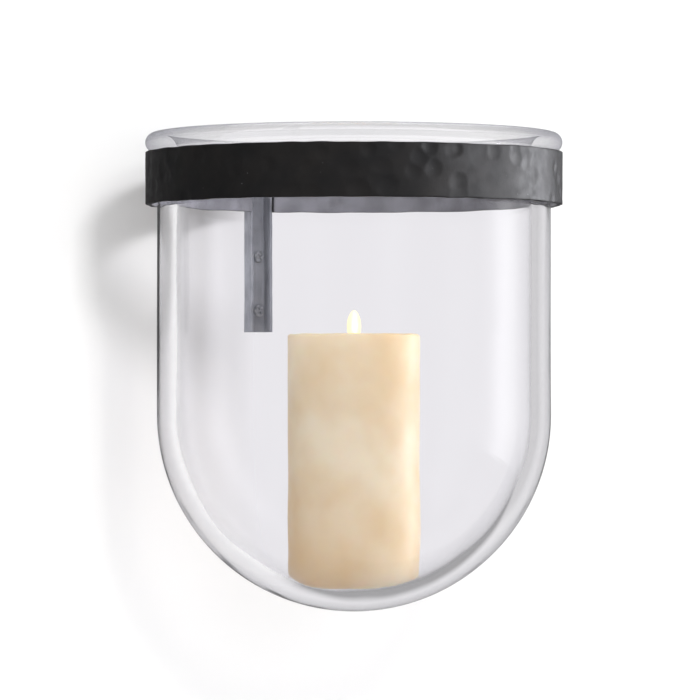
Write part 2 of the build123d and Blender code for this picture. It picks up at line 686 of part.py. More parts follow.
# Four insulated leads: two from the cells and two from the switch, up to the board.
with BuildPart() as lead_wires:
    for foot, head in LEAD_RUNS:
        start = Vector(foot[0], RING_Y + foot[1], CANDLE_Z + foot[2])
        end = Vector(head[0], RING_Y + head[1], CANDLE_Z + head[2])
        middle = (start + end) / 2 + Vector(0, LEAD_BOW / 3, 0)
        with BuildLine() as run:
            Spline(start, middle, end, tangents=((0, 0, 1), (0, 0, 1)))
        with BuildSketch(Plane(origin=start, z_dir=(0, 0, 1))):
            Circle(LEAD_R)
        sweep(path=run.line)
save(lead_wires, "lead_wires")
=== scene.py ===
import math

import bmesh
import bpy
import numpy as np
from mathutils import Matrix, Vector, noise


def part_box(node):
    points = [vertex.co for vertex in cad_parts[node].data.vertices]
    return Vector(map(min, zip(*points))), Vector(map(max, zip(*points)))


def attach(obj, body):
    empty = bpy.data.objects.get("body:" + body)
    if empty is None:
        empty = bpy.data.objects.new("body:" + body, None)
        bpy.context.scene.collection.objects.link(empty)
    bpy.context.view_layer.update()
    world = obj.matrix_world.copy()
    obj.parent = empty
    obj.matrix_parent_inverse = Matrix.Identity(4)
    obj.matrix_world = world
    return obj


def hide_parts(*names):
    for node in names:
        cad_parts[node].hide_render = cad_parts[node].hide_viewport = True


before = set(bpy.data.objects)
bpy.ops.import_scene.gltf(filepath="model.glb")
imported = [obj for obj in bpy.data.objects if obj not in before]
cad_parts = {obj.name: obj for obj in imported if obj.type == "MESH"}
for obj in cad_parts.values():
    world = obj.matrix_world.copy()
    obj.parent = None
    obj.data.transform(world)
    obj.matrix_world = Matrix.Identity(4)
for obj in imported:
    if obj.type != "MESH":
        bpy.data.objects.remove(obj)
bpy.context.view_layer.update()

# Looks of a wall sconce candle holder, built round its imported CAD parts.
# Metres throughout. The wall is the plane y = 0, the room is towards -y, and up is +z.

MM = 0.001

# ---------------------------------------------------------------- places, from the frame
bell_low, bell_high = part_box("glass_bell")
band_low, band_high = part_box("ring_band")
channel_low, channel_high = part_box("wall_channel")
wax_low, wax_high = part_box("wax_shell")
paddle_low, paddle_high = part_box("flame_paddle")

AXIS_Y = (bell_low.y + bell_high.y) / 2
AXIS = Vector((0, AXIS_Y, 0))
BAND_R = (band_high.x - band_low.x) / 2
BAND_THICK = 5 * MM
BAND_BOTTOM = band_low.z
BAND_TOP = band_high.z
CHANNEL_HALF = channel_high.x
CHANNEL_FRONT = channel_low.y
CHANNEL_SHEET = 2 * MM
CHANNEL_BACK = 2.5 * MM

GLASS_R = 132 * MM
GLASS_WALL = 13.2 * MM
GLASS_INNER_R = GLASS_R - GLASS_WALL
RIM_R = bell_high.x
RIM_TOP = bell_high.z
ROUND_END_Z = bell_low.z + GLASS_R

CANDLE_R = wax_high.x
CANDLE_TOP = wax_high.z
CANDLE_BOTTOM = wax_low.z
FLAME_TIP = paddle_high.z


# ================================================================ mesh helpers
def smooth_noise(point, scale, seed=0.0):
    """Noise from about -1 to 1 at a point, whose features are about scale across."""
    return noise.noise(Vector(point) / scale + Vector((seed, 2 * seed, -seed)))


def ring_faces(count, width, closed):
    """Quads between neighbouring rings of width points, and back to the first if closed."""
    last = count if closed else count - 1
    faces = []
    for i in range(last):
        here = i * width
        there = ((i + 1) % count) * width
        for j in range(width):
            k = (j + 1) % width
            faces.append((here + j, here + k, there + k, there + j))
    return faces


def skin(name, rings, closed=False, poles=None):
    """A closed surface through equal rings of points.

    Open stacks are shut by a fan to each of the two poles, or by one flat face at each end.
    """
    count, width = len(rings), len(rings[0])
    points = [tuple(p) for ring in rings for p in ring]
    faces = ring_faces(count, width, closed)
    if not closed and poles:
        for ring_start, pole in ((0, poles[0]), ((count - 1) * width, poles[1])):
            points.append(tuple(pole))
            tip = len(points) - 1
            for j in range(width):
                faces.append((ring_start + j, ring_start + (j + 1) % width, tip))
    elif not closed:
        faces.append(tuple(range(width)))
        faces.append(tuple(range((count - 1) * width, count * width)))
    mesh = bpy.data.meshes.new(name)
    mesh.from_pydata(points, [], faces)
    shape = bmesh.new()
    shape.from_mesh(mesh)
    bmesh.ops.recalc_face_normals(shape, faces=shape.faces)
    shape.to_mesh(mesh)
    shape.free()
    mesh.polygons.foreach_set("use_smooth", [True] * len(mesh.polygons))
    piece = bpy.data.objects.new(name, mesh)
    bpy.context.scene.collection.objects.link(piece)
    return piece


def stand_for(piece, body, slot, material, *nodes):
    """Gives a new piece its material and its body, and hides the CAD nodes it stands for."""
    piece.data.materials.append(material)
    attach(piece, body)
    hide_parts(*nodes)
    return piece


def arc(centre, radius, start, end, steps):
    """Points on an arc of the outline plane, angles in degrees."""
    turn = np.radians(np.linspace(start, end, steps))
    return [(centre[0] + radius * math.cos(t), centre[1] + radius * math.sin(t)) for t in turn]


def arc_through(first, middle, last, steps):
    """Points on the arc that passes through three points of the outline plane."""
    (ax, ay), (bx, by), (cx, cy) = first, middle, last
    d = 2 * (ax * (by - cy) + bx * (cy - ay) + cx * (ay - by))
    a2, b2, c2 = ax**2 + ay**2, bx**2 + by**2, cx**2 + cy**2
    ux = (a2 * (by - cy) + b2 * (cy - ay) + c2 * (ay - by)) / d
    uy = (a2 * (cx - bx) + b2 * (ax - cx) + c2 * (bx - ax)) / d
    turns = np.unwrap([math.atan2(p[1] - uy, p[0] - ux) for p in (first, middle, last)])
    radius = math.hypot(ax - ux, ay - uy)
    return arc((ux, uy), radius, math.degrees(turns[0]), math.degrees(turns[2]), steps)


def straight(first, last, steps):
    """Evenly spaced points on a straight line of the outline plane."""
    return [tuple(p) for p in np.linspace(first, last, steps)]


def joined(*runs):
    """One outline from several runs of points, each starting where the last one ended."""
    outline = list(runs[0])
    for run in runs[1:]:
        outline += run[1:]
    return outline


# ================================================================ material helpers
class Shader:
    """A node material built up in short calls. Textures sit in the row frame, in metres."""

    def __init__(self, name, roughness=0.5, metallic=0.0, ior=1.5):
        self.material = bpy.data.materials.new(name)
        self.material.use_nodes = True
        self.tree = self.material.node_tree
        self.surface = self.tree.nodes["Principled BSDF"]
        self.output = self.tree.nodes["Material Output"]
        self.where = self.node("TexCoord").outputs["Object"]
        self.set("Roughness", roughness)
        self.set("Metallic", metallic)
        self.set("IOR", ior)

    def node(self, kind, inputs=None, **settings):
        made = self.tree.nodes.new("ShaderNode" + kind)
        for key, value in settings.items():
            setattr(made, key, value)
        for key, value in (inputs or {}).items():
            self.feed(made.inputs[key], value)
        return made

    def feed(self, target, value):
        """Gives an input a plain value or another node's output."""
        if isinstance(value, bpy.types.NodeSocket):
            self.tree.links.new(value, target)
        elif value is not None:
            target.default_value = value

    def set(self, name, value):
        self.feed(self.surface.inputs[name], value)

    def noise(self, size, detail=3.0, stretch=(1, 1, 1), roughness=0.5):
        """Noise whose features are about size metres across."""
        place = self.node("Mapping", {"Vector": self.where, "Scale": stretch})
        made = self.node(
            "TexNoise",
            {
                "Vector": place.outputs["Vector"],
                "Scale": 1 / size,
                "Detail": detail,
                "Roughness": roughness,
            },
        )
        return made.outputs["Fac"]

    def speckle(self, size):
        """Distance to scattered points about size metres apart."""
        made = self.node("TexVoronoi", {"Vector": self.where, "Scale": 1 / size})
        return made.outputs["Distance"]

    def height_above(self, z):
        """Height above z in metres, in the piece's own rest frame."""
        parts = self.node("SeparateXYZ", {"Vector": self.where})
        return self.math("SUBTRACT", parts.outputs["Z"], z)

    def distance_from_axis(self):
        """Distance from the band's upright axis in metres."""
        parts = self.node("SeparateXYZ", {"Vector": self.where})
        out = self.math("SUBTRACT", parts.outputs["Y"], AXIS_Y)
        square = self.math("MULTIPLY", parts.outputs["X"], parts.outputs["X"])
        square = self.math("ADD", square, self.math("MULTIPLY", out, out))
        return self.math("SQRT", square)

    def math(self, operation, first, second=None, clamp=False):
        made = self.node("Math", {0: first, 1: second}, operation=operation, use_clamp=clamp)
        return made.outputs["Value"]

    def span(self, value, low, high, to_low, to_high):
        """Carries value from one range to another, held at the ends."""
        made = self.node(
            "MapRange",
            {"Value": value, "From Min": low, "From Max": high, "To Min": to_low, "To Max": to_high},
        )
        return made.outputs["Result"]

    def blend(self, share, first, second):
        """A colour between first and second; the numbers are the node's colour sockets."""
        made = self.node("Mix", data_type="RGBA")
        self.feed(made.inputs[0], share)
        for socket, colour in ((6, first), (7, second)):
            is_output = isinstance(colour, bpy.types.NodeSocket)
            self.feed(made.inputs[socket], colour if is_output else (*colour, 1.0))
        return made.outputs[2]

    def mix_surfaces(self, share, first, second):
        """A surface that is first where share is 0 and second where it is 1."""
        made = self.node("MixShader", {0: share})
        self.feed(made.inputs[1], first)
        self.feed(made.inputs[2], second)
        return made.outputs["Shader"]

    def show(self, surface):
        """Makes a surface the one that the material shows."""
        self.feed(self.output.inputs["Surface"], surface)

    def bump(self, height, depth):
        """Adds relief depth metres high to the surface normal."""
        inputs = {"Height": height, "Distance": depth}
        old = self.surface.inputs["Normal"]
        if old.is_linked:
            inputs["Normal"] = old.links[0].from_socket
        self.set("Normal", self.node("Bump", inputs).outputs["Normal"])


def moulded_plastic(name, colour, roughness=0.45, grain=0.02 * MM):
    """Moulded plastic: fine grain, a little cloudiness and an uneven sheen."""
    shader = Shader(name, roughness)
    cloud = shader.noise(9 * MM, 4)
    dark = [c * 0.86 for c in colour]
    shader.set("Base Color", shader.blend(shader.span(cloud, 0.3, 0.7, 0, 1), dark, colour))
    shader.set("Roughness", shader.span(shader.noise(3 * MM), 0.3, 0.7, roughness - 0.06, roughness + 0.1))
    shader.bump(shader.noise(0.35 * MM, 2), grain)
    return shader.material


def plated_metal(name, colour, roughness=0.3):
    """Plated metal with faint drawn lines and tarnish in patches."""
    shader = Shader(name, roughness, metallic=1.0)
    patches = shader.noise(2.5 * MM, 4)
    dull = [c * 0.6 for c in colour]
    shader.set("Base Color", shader.blend(shader.span(patches, 0.35, 0.75, 0, 0.6), colour, dull))
    shader.set("Roughness", shader.span(shader.noise(1.2 * MM), 0.3, 0.7, roughness, roughness + 0.2))
    shader.bump(shader.noise(0.3 * MM, 2, stretch=(1, 1, 0.1)), 0.01 * MM)
    return shader.material


# ================================================================ materials
def black_iron():
    """Hand-forged iron under a thin black finish, with painted light that makes the inside of the band
    paler.
    """
    shader = Shader("black_iron", 0.5)
    patches = shader.span(shader.noise(22 * MM, 5), 0.35, 0.7, 0, 1)
    colour = shader.blend(patches, (0.0045, 0.0042, 0.0046), (0.0085, 0.0072, 0.0068))
    pits = shader.span(shader.speckle(6 * MM), 0.03, 0.075, 1, 0)
    rare = shader.span(shader.noise(15 * MM, 2), 0.55, 0.6, 0, 1)
    colour = shader.blend(shader.math("MULTIPLY", pits, rare), colour, (0.10, 0.10, 0.105))
    # Painted light: the inside face of the band is given a mottled pale grey for the light that it
    # catches.
    from_axis = shader.distance_from_axis()
    inner_r = BAND_R - BAND_THICK
    inside = shader.span(from_axis, inner_r + 0.5 * MM, inner_r + 1.5 * MM, 1, 0)
    inside = shader.math("MULTIPLY", inside, shader.span(from_axis, 0.9 * BAND_R, 0.92 * BAND_R, 0, 1))
    inner_light_mottle = shader.span(shader.noise(18 * MM, 3), 0.42, 0.6, 0, 1)
    painted_inner_light = shader.blend(inner_light_mottle, (0.18, 0.18, 0.195), (0.25, 0.25, 0.27))
    shader.set("Base Color", shader.blend(inside, colour, painted_inner_light))
    shader.set("Specular IOR Level", 0.22)
    shader.set("Roughness", shader.span(shader.noise(7 * MM, 4), 0.3, 0.7, 0.38, 0.52))
    shader.bump(shader.noise(1.1 * MM, 4, roughness=0.6), 0.035 * MM)
    shader.bump(shader.noise(5 * MM, 3), 0.10 * MM)
    return shader.material


def worn_iron():
    """Blackened iron worn to a satin grey, with darker scale left in patches."""
    shader = Shader("worn_iron", 0.45)
    patches = shader.span(shader.noise(16 * MM, 5), 0.40, 0.68, 0, 1)
    streaks = shader.span(shader.noise(5 * MM, 4, stretch=(1, 1, 0.15)), 0.45, 0.7, 0, 0.5)
    colour = shader.blend(patches, (0.30, 0.31, 0.34), (0.20, 0.205, 0.23))
    shader.set("Base Color", shader.blend(streaks, colour, (0.40, 0.41, 0.44)))
    shader.set("Roughness", shader.span(shader.noise(6 * MM, 4), 0.3, 0.7, 0.36, 0.55))
    shader.bump(shader.noise(1.2 * MM, 4), 0.05 * MM)
    shader.bump(shader.noise(6 * MM, 3), 0.15 * MM)
    return shader.material


def clear_glass():
    """Clear blown glass, with painted shade where it is seen edge on.

    Its refractive index, 1.24, is lower than real glass's 1.5, so that it bends the view less.
    Light for other surfaces passes straight through it, and so does most of the view through
    the rolled rim, whose bent image of the black band would otherwise hide the rim's shape.
    """
    shader = Shader("clear_glass", 0.0, ior=1.24)
    shader.set("Transmission Weight", 1.0)
    facing = shader.node("LayerWeight", {"Blend": 0.5}).outputs["Facing"]
    streaks = shader.noise(30 * MM, 2, stretch=(1, 1, 0.25))
    clear = shader.blend(streaks, (0.905, 0.900, 0.915), (0.920, 0.918, 0.932))
    # Painted shade: the glass's colour darkens where it is seen edge on.
    edge_shade = shader.span(facing, 0.58, 0.92, 0, 1)
    shader.set("Base Color", shader.blend(edge_shade, clear, (0.64, 0.64, 0.67)))
    shader.set("Roughness", shader.span(shader.noise(12 * MM), 0.4, 0.8, 0.0, 0.012))
    shader.bump(shader.noise(40 * MM, 1, stretch=(1, 1, 0.3)), 0.5 * MM)
    # Painted shade: what passes straight through, including the view through the rim, is darker where the
    # glass is slanted.
    slant = shader.span(facing, 0.45, 0.95, 0, 1)
    passing = shader.blend(slant, (0.95, 0.948, 0.955), (0.66, 0.66, 0.69))
    straight_through = shader.node("BsdfTransparent", {"Color": passing}).outputs["BSDF"]
    path = shader.node("LightPath")
    fill = shader.math("MAXIMUM", path.outputs["Is Shadow Ray"], path.outputs["Is Diffuse Ray"])
    rim = shader.span(shader.height_above(BAND_TOP), -1.0 * MM, 1.5 * MM, 0.0, 0.80)
    share = shader.math("MAXIMUM", fill, rim)
    shader.show(shader.mix_surfaces(share, shader.surface.outputs["BSDF"], straight_through))
    return shader.material


def candle_wax():
    """Ivory wax, mottled cream and tan, with painted shade towards its lower left and a painted glow from
    the flame near its top.
    """
    shader = Shader("candle_wax", 0.42, ior=1.43)
    parts = shader.node("SeparateXYZ", {"Vector": shader.where})
    mottle = shader.span(shader.noise(60 * MM, 3), 0.38, 0.62, 0, 1)
    colour = shader.blend(mottle, (0.70, 0.54, 0.34), (0.78, 0.68, 0.51))
    # Painted shade: the wax is darkened to tan towards the bottom and the left, away from the light.
    low = shader.span(parts.outputs["Z"], CANDLE_BOTTOM, CANDLE_BOTTOM + 80 * MM, 1, 0)
    left = shader.span(parts.outputs["X"], -CANDLE_R, CANDLE_R * 0.5, 1, 0)
    painted_low_left_shade = shader.math("MULTIPLY", shader.math("MULTIPLY", low, left), 0.75)
    colour = shader.blend(painted_low_left_shade, colour, (0.60, 0.40, 0.20))
    # Darker patches at random, made stronger towards the bottom as painted shade.
    patches_and_low_shade = shader.span(shader.noise(26 * MM, 4), 0.5, 0.72, 0, 0.45)
    patches_and_low_shade = shader.math("MULTIPLY", patches_and_low_shade, shader.span(low, 0, 1, 0.35, 1.0))
    colour = shader.blend(patches_and_low_shade, colour, (0.62, 0.42, 0.22))
    shader.set("Base Color", colour)
    shader.set("Subsurface Weight", 0.5)
    shader.set("Subsurface Radius", (1.0, 0.6, 0.3))
    shader.set("Subsurface Scale", 8 * MM)
    shader.set("Roughness", shader.span(shader.noise(6 * MM, 4), 0.3, 0.7, 0.34, 0.5))
    shader.bump(shader.noise(9 * MM, 4), 0.25 * MM)
    shader.bump(shader.noise(0.9 * MM, 3), 0.02 * MM)
    # Painted light: the wax glows near its top, for the flame's light in it.
    glow = shader.span(shader.height_above(CANDLE_TOP), -70 * MM, 0.0, 0.0, 1.0)
    glow = shader.math("POWER", glow, 2.2)
    shader.set("Emission Color", (1.0, 0.74, 0.42, 1.0))
    shader.set("Emission Strength", shader.math("MULTIPLY", glow, 0.12))
    return shader.material


def flame_glow():
    """Flame blade with painted light: white in the middle, pale yellow at its edges, warmer at its foot.
    """
    shader = Shader("flame_glow", 0.35)
    parts = shader.node("SeparateXYZ", {"Vector": shader.where})
    rise = shader.span(shader.height_above(CANDLE_TOP - 5 * MM), 0, FLAME_TIP - CANDLE_TOP + 5 * MM, 0, 1)
    side = shader.math("ABSOLUTE", parts.outputs["X"])
    core = shader.span(side, 0.2 * MM, 3.2 * MM, 1, 0)
    foot = shader.span(rise, 0.15, 0.4, 0, 1)
    tip = shader.span(rise, 0.6, 1.0, 1, 0.25)
    # Painted light: the blade glows brightest in its middle and dimmer towards its foot and tip.
    painted_light_share = shader.math("MULTIPLY", core, shader.math("MULTIPLY", foot, tip))
    colour = shader.blend(painted_light_share, (1.0, 0.70, 0.30), (1.0, 0.93, 0.66))
    grain = shader.span(shader.noise(2 * MM), 0.3, 0.7, 0.9, 1.1)
    shader.set("Base Color", (0.95, 0.85, 0.5, 1.0))
    shader.set("Emission Color", colour)
    shader.set("Emission Strength", shader.math("MULTIPLY", shader.span(painted_light_share, 0, 1, 0.85, 1.7), grain))
    return shader.material


def dark_screw():
    """Zinc-blackened screw, worn brighter in patches."""
    shader = Shader("dark_screw", 0.38, metallic=0.85)
    wear = shader.span(shader.noise(1.6 * MM, 4), 0.45, 0.7, 0, 1)
    shader.set("Base Color", shader.blend(wear, (0.05, 0.05, 0.055), (0.26, 0.26, 0.27)))
    shader.set("Roughness", shader.span(shader.noise(0.8 * MM), 0.3, 0.7, 0.3, 0.5))
    shader.bump(shader.noise(0.5 * MM, 3), 0.02 * MM)
    return shader.material


def worn_screw():
    """Grey screw worn bright in patches."""
    shader = Shader("worn_screw", 0.4, metallic=0.25)
    wear = shader.span(shader.noise(2.2 * MM, 4), 0.4, 0.65, 0, 1)
    shader.set("Base Color", shader.blend(wear, (0.26, 0.27, 0.29), (0.46, 0.47, 0.50)))
    shader.set("Roughness", shader.span(shader.noise(1.1 * MM), 0.3, 0.7, 0.34, 0.5))
    shader.bump(shader.noise(0.6 * MM, 3), 0.02 * MM)
    return shader.material


def foot_rubber():
    """Matte rubber with a dusty, fine texture."""
    shader = Shader("foot_rubber", 0.85)
    dust = shader.span(shader.noise(1.5 * MM, 4), 0.4, 0.8, 0, 1)
    shader.set("Base Color", shader.blend(dust, (0.03, 0.03, 0.03), (0.07, 0.068, 0.065)))
    shader.bump(shader.noise(0.4 * MM, 3), 0.04 * MM)
    return shader.material


def cell_jacket():
    """Sleeve of a battery cell, dark below and copper above, with an unsleeved metal band at each end."""
    shader = Shader("cell_jacket", 0.3)
    bare_end = 2.5 * MM
    dark_part = 36 * MM
    cell_low, cell_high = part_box("battery_cells")
    from_foot = shader.height_above(cell_low.z)
    above_foot = shader.math("GREATER_THAN", from_foot, bare_end)
    below_top = shader.math("LESS_THAN", from_foot, cell_high.z - cell_low.z - bare_end)
    sleeve = shader.math("MULTIPLY", above_foot, below_top)
    copper_part = shader.math("GREATER_THAN", from_foot, dark_part)
    jacket = shader.blend(copper_part, (0.03, 0.045, 0.07), (0.55, 0.30, 0.10))
    shader.set("Base Color", shader.blend(sleeve, (0.6, 0.6, 0.58), jacket))
    shader.set("Metallic", shader.span(sleeve, 0, 1, 1, 0))
    shader.bump(shader.noise(0.6 * MM, 2), 0.01 * MM)
    return shader.material


def circuit_resist():
    """Green solder resist with paler tracks under it."""
    shader = Shader("circuit_resist", 0.32)
    cells = shader.node("TexVoronoi", {"Vector": shader.where, "Scale": 1 / (4 * MM)},
                        feature="DISTANCE_TO_EDGE")
    tracks = shader.span(cells.outputs["Distance"], 0.05, 0.1, 1, 0)
    shader.set("Base Color", shader.blend(tracks, (0.012, 0.10, 0.035), (0.05, 0.26, 0.09)))
    shader.bump(tracks, 0.04 * MM)
    return shader.material


def copper_winding():
    """Enamelled copper wire wound in close rows."""
    shader = Shader("copper_winding", 0.28, metallic=1.0)
    rows = shader.node("TexWave", {"Vector": shader.where, "Scale": 1 / (2.2 * MM), "Distortion": 0.2},
                       bands_direction="Z")
    shade = rows.outputs["Fac"]
    shader.set("Base Color", shader.blend(shade, (0.35, 0.12, 0.04), (0.80, 0.36, 0.16)))
    shader.bump(shade, 0.08 * MM)
    return shader.material


def lamp_resin():
    """Warm clear resin of the lamp, lit from within."""
    shader = Shader("lamp_resin", 0.12)
    cloud = shader.span(shader.noise(1.5 * MM), 0.3, 0.7, 0, 1)
    shader.set("Base Color", shader.blend(cloud, (1.0, 0.82, 0.5), (1.0, 0.93, 0.75)))
    shader.set("Emission Color", (1.0, 0.78, 0.42, 1.0))
    shader.set("Emission Strength", shader.span(cloud, 0, 1, 2.0, 3.0))
    return shader.material


IRON = black_iron()
WORN_IRON = worn_iron()
GLASS = clear_glass()
WAX = candle_wax()


# ================================================================ glass bell
TURNS = 288
SEAT_GAP = 0.2 * MM             # between the rim and the band's top edge
ROOT_R = 2 * MM                 # hollow where the rim meets the side
SEAT_INSET = 1.4 * MM           # the rim's seat reaches this far over the band
CROWN_INSET = 6 * MM            # from the rim's widest point in to its highest
LIP_DROP = 8.5 * MM             # from the rim's highest point down to the straight inside
POLE_ANGLE = -89                # the round end stops this near its lowest point


def blown(point):
    """How far blown glass strays outwards at a point: slow swells and faint upright ripples."""
    x, y, z = point
    swell = smooth_noise((x, y, z), 90 * MM, 3.0)
    ripple = smooth_noise((x, y, z * 0.3), 34 * MM, 8.0)
    return (0.28 * swell + 0.14 * ripple) * MM


def turned(outline):
    """Rings round the band's axis through an outline of (radius, height) points."""
    rings = []
    for radius, height in outline:
        ring = []
        for turn in np.linspace(0, 2 * math.pi, TURNS, endpoint=False):
            x, y = math.cos(turn), math.sin(turn)
            place = (radius * x, radius * y, height)
            grown = radius + blown(place) * min(1.0, radius / GLASS_R)
            ring.append((grown * x, AXIS_Y + grown * y, height))
        rings.append(ring)
    return rings


def make_glass_bell():
    """Half-round end, straight sides and a rolled rim that hangs on the band's top edge."""
    seat_z = BAND_TOP + SEAT_GAP
    seat_r = BAND_R - BAND_THICK + SEAT_INSET
    crown_r = RIM_R - CROWN_INSET
    lip_r = crown_r - GLASS_INNER_R
    slant = math.radians(45)
    lip_middle = (crown_r - lip_r * math.sin(slant), RIM_TOP - LIP_DROP * (1 - math.cos(slant)))
    lip_foot = (GLASS_INNER_R, RIM_TOP - LIP_DROP)
    bulge = (RIM_R - 0.2 * MM, (BAND_TOP + RIM_TOP) / 2)
    outside = joined(
        arc((0, ROUND_END_Z), GLASS_R, POLE_ANGLE, 0, 90),
        straight((GLASS_R, ROUND_END_Z), (GLASS_R, seat_z - ROOT_R), 60),
        arc((GLASS_R + ROOT_R, seat_z - ROOT_R), ROOT_R, 180, 90, 6),
        straight((GLASS_R + ROOT_R, seat_z), (seat_r, seat_z), 3),
        arc_through((seat_r, seat_z), bulge, (crown_r, RIM_TOP), 22),
    )
    inside = joined(
        arc_through((crown_r, RIM_TOP), lip_middle, lip_foot, 16),
        straight(lip_foot, (GLASS_INNER_R, ROUND_END_Z), 60),
        arc((0, ROUND_END_Z), GLASS_INNER_R, 0, POLE_ANGLE, 90),
    )
    poles = ((0, AXIS_Y, bell_low.z), (0, AXIS_Y, ROUND_END_Z - GLASS_INNER_R))
    bell = skin("blown_glass_bell", turned(joined(outside, inside)), poles=poles)
    return stand_for(bell, "glass", "clear_glass", GLASS, "glass_bell")


# ================================================================ iron band
BAND_STEPS = 760
DENT_COUNT = 130
CORNER = 0.7 * MM


def bar_section():
    """Round-cornered section of the band as (how far in from the outside, height) points."""
    low, high, deep = BAND_BOTTOM, BAND_TOP, BAND_THICK
    return joined(
        straight((0, low + CORNER), (0, high - CORNER), 34),
        arc((CORNER, high - CORNER), CORNER, 180, 90, 4),
        straight((CORNER, high), (deep - CORNER, high), 4),
        arc((deep - CORNER, high - CORNER), CORNER, 90, 0, 4),
        straight((deep, high - CORNER), (deep, low + CORNER), 24),
        arc((deep - CORNER, low + CORNER), CORNER, 0, -90, 4),
        straight((deep - CORNER, low), (CORNER, low), 4),
        arc((CORNER, low + CORNER), CORNER, -90, -180, 4),
    )[:-1]


def hammer_dents(rng):
    """Round hammer marks scattered over the band: turn, height, radius and depth of each."""
    return [
        (
            rng.uniform(-math.pi, math.pi),
            rng.uniform(BAND_BOTTOM, BAND_TOP),
            rng.uniform(5.0, 8.5) * MM,
            rng.uniform(0.40, 0.85) * MM,
        )
        for _ in range(DENT_COUNT)
    ]


def dent_depth(turns, heights, dents):
    """Deepest dent at each turn and height: a dished floor that meets the face at a crisp edge."""
    depth = np.zeros(turns.shape)
    for turn, height, radius, deep in dents:
        across = (turns - turn) * BAND_R
        near = (across**2 + (heights - height) ** 2) / radius**2
        depth = np.maximum(depth, deep * np.clip(1 - near, 0, None) ** 1.1)
    return depth


def make_band():
    """Hoop of hammered bar, open at the back where it meets the channel."""
    rng = np.random.default_rng(11)
    section = np.array(bar_section())
    share = np.linspace(-1, 1, BAND_STEPS)[:, None]
    radius = BAND_R - section[:, 0]
    turns = share * (math.pi - np.arcsin(CHANNEL_HALF / radius))
    heights = np.broadcast_to(section[:, 1], turns.shape)
    outer = np.clip(1 - section[:, 0] / BAND_THICK, 0, 1)
    dents = dent_depth(turns, heights, hammer_dents(rng)) * outer
    rings = []
    for row, turn_row in enumerate(turns):
        ring = []
        for column, turn in enumerate(turn_row):
            r, z = radius[column], heights[row][column]
            place = (BAND_R * math.sin(turn), BAND_R * math.cos(turn), z)
            edge = (z - (BAND_BOTTOM + BAND_TOP) / 2) / (BAND_TOP - BAND_BOTTOM) * 2
            ragged = 0.35 + 0.45 * smooth_noise(place[:2] + (edge * 0.3,), 16 * MM, 5.0)
            z -= edge * abs(edge) ** 3 * max(0.0, ragged) * MM
            fine = smooth_noise(place, 21 * MM, 1.0) * 0.20
            broad = smooth_noise(place, 70 * MM, 2.0) * 0.25
            r += (fine + broad - 0.2) * MM - dents[row][column]
            ring.append((r * math.sin(turn), AXIS_Y - r * math.cos(turn), z))
        rings.append(ring)
    band = skin("hammered_band", rings)
    return stand_for(band, "holder", "black_iron", IRON, "ring_band")


# ================================================================ wall channel and welds
CHANNEL_STEPS = 150
SCREW_DROP = 19.05 * MM       # the lower screw, below the origin


def channel_section():
    """Closed outline of the channel seen from above, as (x, y) points, webs towards -y."""
    half, front, sheet = CHANNEL_HALF, CHANNEL_FRONT, CHANNEL_SHEET
    inner = half - sheet
    bend = 1.5 * MM
    tip = sheet / 2
    return joined(
        straight((-half + bend, 0), (half - bend, 0), 14),
        arc((half - bend, -bend), bend, 90, 0, 5),
        straight((half, -bend), (half, front + tip), 14),
        arc((half - tip, front + tip), tip, 0, -180, 7),
        straight((inner, front + tip), (inner, -CHANNEL_BACK), 12),
        straight((inner, -CHANNEL_BACK), (-inner, -CHANNEL_BACK), 14),
        straight((-inner, -CHANNEL_BACK), (-inner, front + tip), 12),
        arc((-half + tip, front + tip), tip, 0, -180, 7),
        straight((-half, front + tip), (-half, -bend), 14),
        arc((-half + bend, -bend), bend, 180, 90, 5),
    )[:-1]


def make_channel():
    """Upright forged channel whose web edges wander, and spread beside the lower screw."""
    section = channel_section()
    rings = []
    for z in np.linspace(channel_low.z, channel_high.z, CHANNEL_STEPS):
        ring = []
        for x, y in section:
            out = min(1.0, max(0.0, y / CHANNEL_FRONT))
            wander = smooth_noise((x, y, z), 14 * MM, 4.0) * 0.22
            wander += smooth_noise((x, y, z), 5 * MM, 6.0) * 0.08
            spread = math.exp(-(((z + SCREW_DROP) / (5 * MM)) ** 2)) * 0.9 if x < 0 else 0.0
            ragged = smooth_noise((x * 0.2, 0.0, z), 7 * MM, 9.0) * 0.35 * out**4
            shift = (wander * 0.8 - spread * out**2) * MM * min(1.0, out * 3)
            ring.append((x + shift, min(0.0, y + (ragged + 0.2 * out**4) * MM), z))
        rings.append(ring)
    channel = skin("forged_channel", rings)
    return stand_for(channel, "holder", "worn_iron", WORN_IRON, "wall_channel")


def weld_section(side, leg, corner_y):
    """Bead filling the corner between the side of the channel and the back of the band."""
    web = side * CHANNEL_HALF
    return [
        (web - side * 0.1 * MM, corner_y - 0.9 * MM),
        (web - side * 0.1 * MM, corner_y + leg * 0.6),
        (web + side * 0.15 * leg, corner_y + leg),
        (web + side * 0.55 * leg, corner_y + leg * 0.72),
        (web + side * 0.90 * leg, corner_y + leg * 0.30),
        (web + side * 1.05 * leg, corner_y - 0.25 * leg),
        (web + side * 0.80 * leg, corner_y - 0.9 * MM),
    ]


